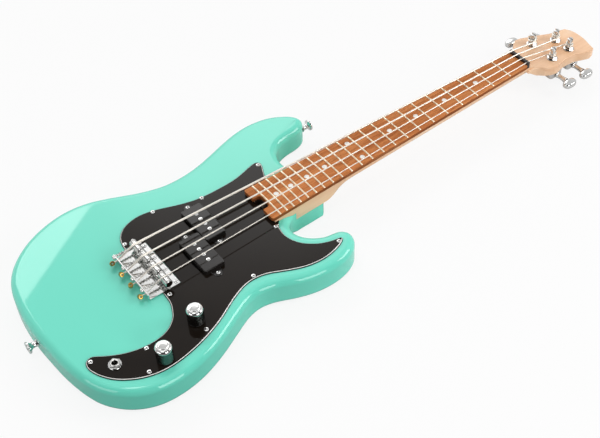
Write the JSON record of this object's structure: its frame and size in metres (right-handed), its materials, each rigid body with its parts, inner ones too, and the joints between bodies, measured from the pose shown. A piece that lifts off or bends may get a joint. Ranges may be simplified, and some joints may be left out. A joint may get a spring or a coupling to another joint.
{
  "type": "bass ukulele",
  "caption": "Solid-body electric bass ukulele with offset horns, bolt-on maple neck, split pickup, barrel-saddle bridge and geared tuners",
  "frame": {"origin": "on the flat back of the body, under the saddle line, on the centre line of the strings", "axes": "+X along the strings towards the headstock, +Y towards the bass side, +Z out of the playing face"},
  "size_m": [0.8039, 0.2749, 0.0616],
  "materials": {
    "seafoam_lacquer": "gloss polyester lacquer over wood",
    "black_plastic": "semi-gloss three-ply black, white, black",
    "maple": "satin clear coat",
    "rosewood": "oiled, open grain",
    "nut_black": "polished edges",
    "chrome": "polished plating",
    "steel": "bright machined",
    "string_steel": "round wound",
    "cover_black": "satin moulded",
    "brass": "turned",
    "pearl": "polished inlay"
  },
  "bodies": {
    "instrument": {"body": "seafoam_lacquer", "pickguard": "black_plastic", "neck": "maple", "fretboard": "rosewood", "nut": "nut_black", "truss_rod": "steel", "neck_plate": "chrome", "neck_screw_1": "steel", "neck_screw_2": "steel", "neck_screw_3": "steel", "neck_screw_4": "steel", "bridge_plate": "chrome", "intonation_spring_e": "steel", "intonation_spring_a": "steel", "intonation_spring_d": "steel", "intonation_spring_g": "steel", "pickup_bass": "cover_black", "pickup_treble": "cover_black", "string_e": "string_steel", "string_a": "string_steel", "string_d": "string_steel", "string_g": "string_steel", "volume_pot": "steel", "tone_pot": "steel", "jack_socket": "steel", "jack_nut": "chrome", "tuner_housing_e": "chrome", "tuner_housing_a": "chrome", "tuner_housing_d": "chrome", "tuner_housing_g": "chrome", "tuner_bushing_e": "chrome", "tuner_bushing_a": "chrome", "tuner_bushing_d": "chrome", "tuner_bushing_g": "chrome", "strap_button_tail": "chrome", "strap_button_horn": "chrome"},
    "key_e": {"tuner_key_e": "chrome"},
    "post_e": {"tuner_post_e": "chrome"},
    "key_a": {"tuner_key_a": "chrome"},
    "post_a": {"tuner_post_a": "chrome"},
    "key_d": {"tuner_key_d": "chrome"},
    "post_d": {"tuner_post_d": "chrome"},
    "key_g": {"tuner_key_g": "chrome"},
    "post_g": {"tuner_post_g": "chrome"},
    "intonation_e": {"intonation_screw_e": "steel"},
    "saddle_e": {"saddle_e": "chrome"},
    "intonation_a": {"intonation_screw_a": "steel"},
    "saddle_a": {"saddle_a": "chrome"},
    "intonation_d": {"intonation_screw_d": "steel"},
    "saddle_d": {"saddle_d": "chrome"},
    "intonation_g": {"intonation_screw_g": "steel"},
    "saddle_g": {"saddle_g": "chrome"},
    "volume_control": {"volume_knob": "chrome", "volume_shaft": "steel"},
    "tone_control": {"tone_knob": "chrome", "tone_shaft": "steel"},
    "truss_nut": {"truss_rod_nut": "steel"}
  },
  "joints": [
    {"name": "key_e_turn", "type": "hinge", "parent": "instrument", "child": "key_e", "pos_m": [0.589, 0.0377, 0.0186], "axis": [0, 1, 0], "continuous": true},
    {"name": "post_e_turn", "type": "hinge", "parent": "instrument", "child": "post_e", "pos_m": [0.589, 0.0177, 0.045], "axis": [0, 0, 1], "continuous": true},
    {"name": "key_a_turn", "type": "hinge", "parent": "instrument", "child": "key_a", "pos_m": [0.618, 0.0245, 0.0186], "axis": [0, 1, 0], "continuous": true},
    {"name": "post_a_turn", "type": "hinge", "parent": "instrument", "child": "post_a", "pos_m": [0.618, 0.0045, 0.045], "axis": [0, 0, 1], "continuous": true},
    {"name": "key_d_turn", "type": "hinge", "parent": "instrument", "child": "key_d", "pos_m": [0.619, -0.0385, 0.0186], "axis": [0, -1, 0], "continuous": true},
    {"name": "post_d_turn", "type": "hinge", "parent": "instrument", "child": "post_d", "pos_m": [0.619, -0.0185, 0.045], "axis": [0, 0, 1], "continuous": true},
    {"name": "key_g_turn", "type": "hinge", "parent": "instrument", "child": "key_g", "pos_m": [0.589, -0.0387, 0.0186], "axis": [0, -1, 0], "continuous": true},
    {"name": "post_g_turn", "type": "hinge", "parent": "instrument", "child": "post_g", "pos_m": [0.589, -0.0187, 0.045], "axis": [0, 0, 1], "continuous": true},
    {"name": "intonation_e_turn", "type": "hinge", "parent": "instrument", "child": "intonation_e", "pos_m": [-0.02, 0.03345, 0.0454], "axis": [1, 0, 0], "range_deg": [-3600, 1440]},
    {"name": "saddle_e_slide", "type": "slide", "parent": "instrument", "child": "saddle_e", "axis": [1, 0, 0], "range_m": [-0.002, 0.005], "deforming": ["intonation_spring_e"]},
    {"name": "intonation_a_turn", "type": "hinge", "parent": "instrument", "child": "intonation_a", "pos_m": [-0.02, 0.01409, 0.0454], "axis": [1, 0, 0], "range_deg": [-3600, 1440]},
    {"name": "saddle_a_slide", "type": "slide", "parent": "instrument", "child": "saddle_a", "axis": [1, 0, 0], "range_m": [-0.002, 0.005], "deforming": ["intonation_spring_a"]},
    {"name": "intonation_d_turn", "type": "hinge", "parent": "instrument", "child": "intonation_d", "pos_m": [-0.02, -0.00528, 0.0454], "axis": [1, 0, 0], "range_deg": [-3600, 1440]},
    {"name": "saddle_d_slide", "type": "slide", "parent": "instrument", "child": "saddle_d", "axis": [1, 0, 0], "range_m": [-0.002, 0.005], "deforming": ["intonation_spring_d"]},
    {"name": "intonation_g_turn", "type": "hinge", "parent": "instrument", "child": "intonation_g", "pos_m": [-0.02, -0.02465, 0.0454], "axis": [1, 0, 0], "range_deg": [-3600, 1440]},
    {"name": "saddle_g_slide", "type": "slide", "parent": "instrument", "child": "saddle_g", "axis": [1, 0, 0], "range_m": [-0.002, 0.005], "deforming": ["intonation_spring_g"]},
    {"name": "volume_turn", "type": "hinge", "parent": "instrument", "child": "volume_control", "pos_m": [-0.0012, -0.0897, 0.05], "axis": [0, 0, 1], "range_deg": [-150, 150]},
    {"name": "tone_turn", "type": "hinge", "parent": "instrument", "child": "tone_control", "pos_m": [-0.0523, -0.1105, 0.05], "axis": [0, 0, 1], "range_deg": [-150, 150]},
    {"name": "truss_nut_turn", "type": "hinge", "parent": "instrument", "child": "truss_nut", "pos_m": [0.15, 0, 0.0364], "axis": [1, 0, 0], "range_deg": [-360, 360]}
  ],
  "couplings": [
    {"joint": "post_e_turn", "follows": "key_e_turn", "ratio": 0.0625},
    {"joint": "post_a_turn", "follows": "key_a_turn", "ratio": 0.0625},
    {"joint": "post_d_turn", "follows": "key_d_turn", "ratio": -0.0625},
    {"joint": "post_g_turn", "follows": "key_g_turn", "ratio": -0.0625},
    {"joint": "intonation_e_turn", "follows": "saddle_e_slide", "rad_per_m": -12566},
    {"joint": "intonation_a_turn", "follows": "saddle_a_slide", "rad_per_m": -12566},
    {"joint": "intonation_d_turn", "follows": "saddle_d_slide", "rad_per_m": -12566},
    {"joint": "intonation_g_turn", "follows": "saddle_g_slide", "rad_per_m": -12566}
  ]
}
